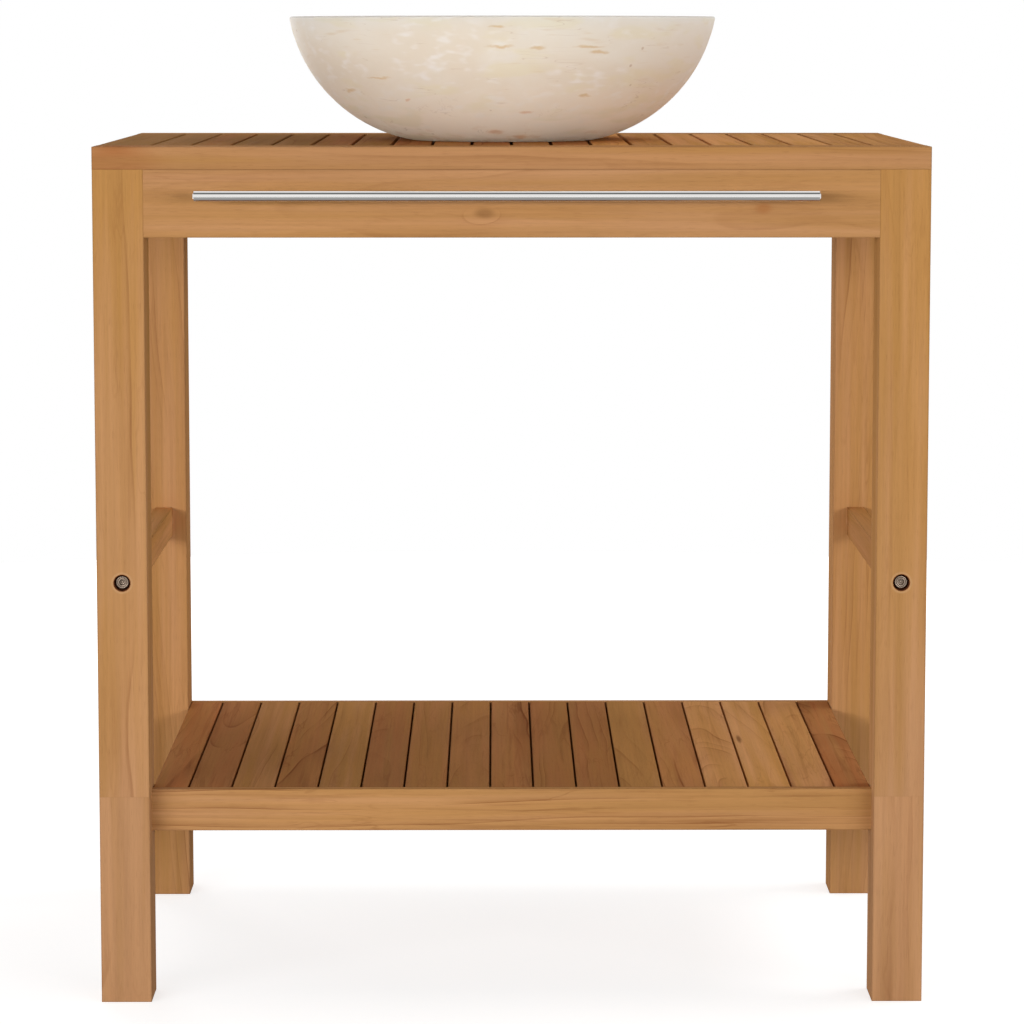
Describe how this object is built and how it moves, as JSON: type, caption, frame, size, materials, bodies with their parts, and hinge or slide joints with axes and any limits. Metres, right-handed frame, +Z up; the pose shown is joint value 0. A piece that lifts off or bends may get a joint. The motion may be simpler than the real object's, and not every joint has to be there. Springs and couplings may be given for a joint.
{
  "type": "vanity unit",
  "caption": "Open wooden washstand with square legs, a slatted top and lower shelf, a steel towel bar on the front apron and a round stone vessel basin with a lifting waste plug.",
  "frame": {"origin": "on the floor, in the middle of the whole width and of the whole depth with the towel bar", "axes": "+Z up, +X to the right as seen by someone who stands in front, +Y to the wall behind"},
  "size_m": [0.74, 0.485, 0.885],
  "materials": {
    "teak": "oiled satin",
    "marble": "polished",
    "steel": "brushed",
    "fasteners": "zinc plated",
    "chrome": "polished",
    "rubber": "matt"
  },
  "bodies": {
    "stand": {"apron_back": "teak", "apron_front": "teak", "apron_left": "teak", "apron_right": "teak", "barrel_nuts": "fasteners", "basin": "marble", "frame_bolts": "fasteners", "leg_back_left": "teak", "leg_back_right": "teak", "leg_front_left": "teak", "leg_front_right": "teak", "shelf_rail_back": "teak", "shelf_rail_front": "teak", "shelf_slat_01": "teak", "shelf_slat_02": "teak", "shelf_slat_03": "teak", "shelf_slat_04": "teak", "shelf_slat_05": "teak", "shelf_slat_06": "teak", "shelf_slat_07": "teak", "shelf_slat_08": "teak", "shelf_slat_09": "teak", "shelf_slat_10": "teak", "shelf_slat_11": "teak", "shelf_slat_12": "teak", "shelf_slat_13": "teak", "shelf_slat_14": "teak", "shelf_slat_15": "teak", "shelf_slat_16": "teak", "shelf_slat_17": "teak", "stretcher_left": "teak", "stretcher_right": "teak", "top_end_board_left": "teak", "top_end_board_right": "teak", "top_rail_back": "teak", "top_rail_front": "teak", "top_slat_01": "teak", "top_slat_02": "teak", "top_slat_03": "teak", "top_slat_04": "teak", "top_slat_05": "teak", "top_slat_06": "teak", "top_slat_07": "teak", "top_slat_08": "teak", "top_slat_09": "teak", "top_slat_10": "teak", "top_slat_11": "teak", "top_slat_12": "teak", "top_slat_13": "teak", "top_slat_14": "teak", "top_slat_15": "teak", "top_slat_16": "teak", "top_slat_17": "teak", "top_slat_18": "teak", "towel_bar": "steel", "towel_bar_posts": "steel", "waste_back_nut": "chrome", "waste_body": "chrome", "waste_gaskets": "rubber"},
    "plug": {"waste_plug": "chrome"}
  },
  "joints": [
    {"name": "plug_lift", "type": "slide", "parent": "stand", "child": "plug", "axis": [0, 0, 1], "range_m": [0, 0.008]}
  ]
}
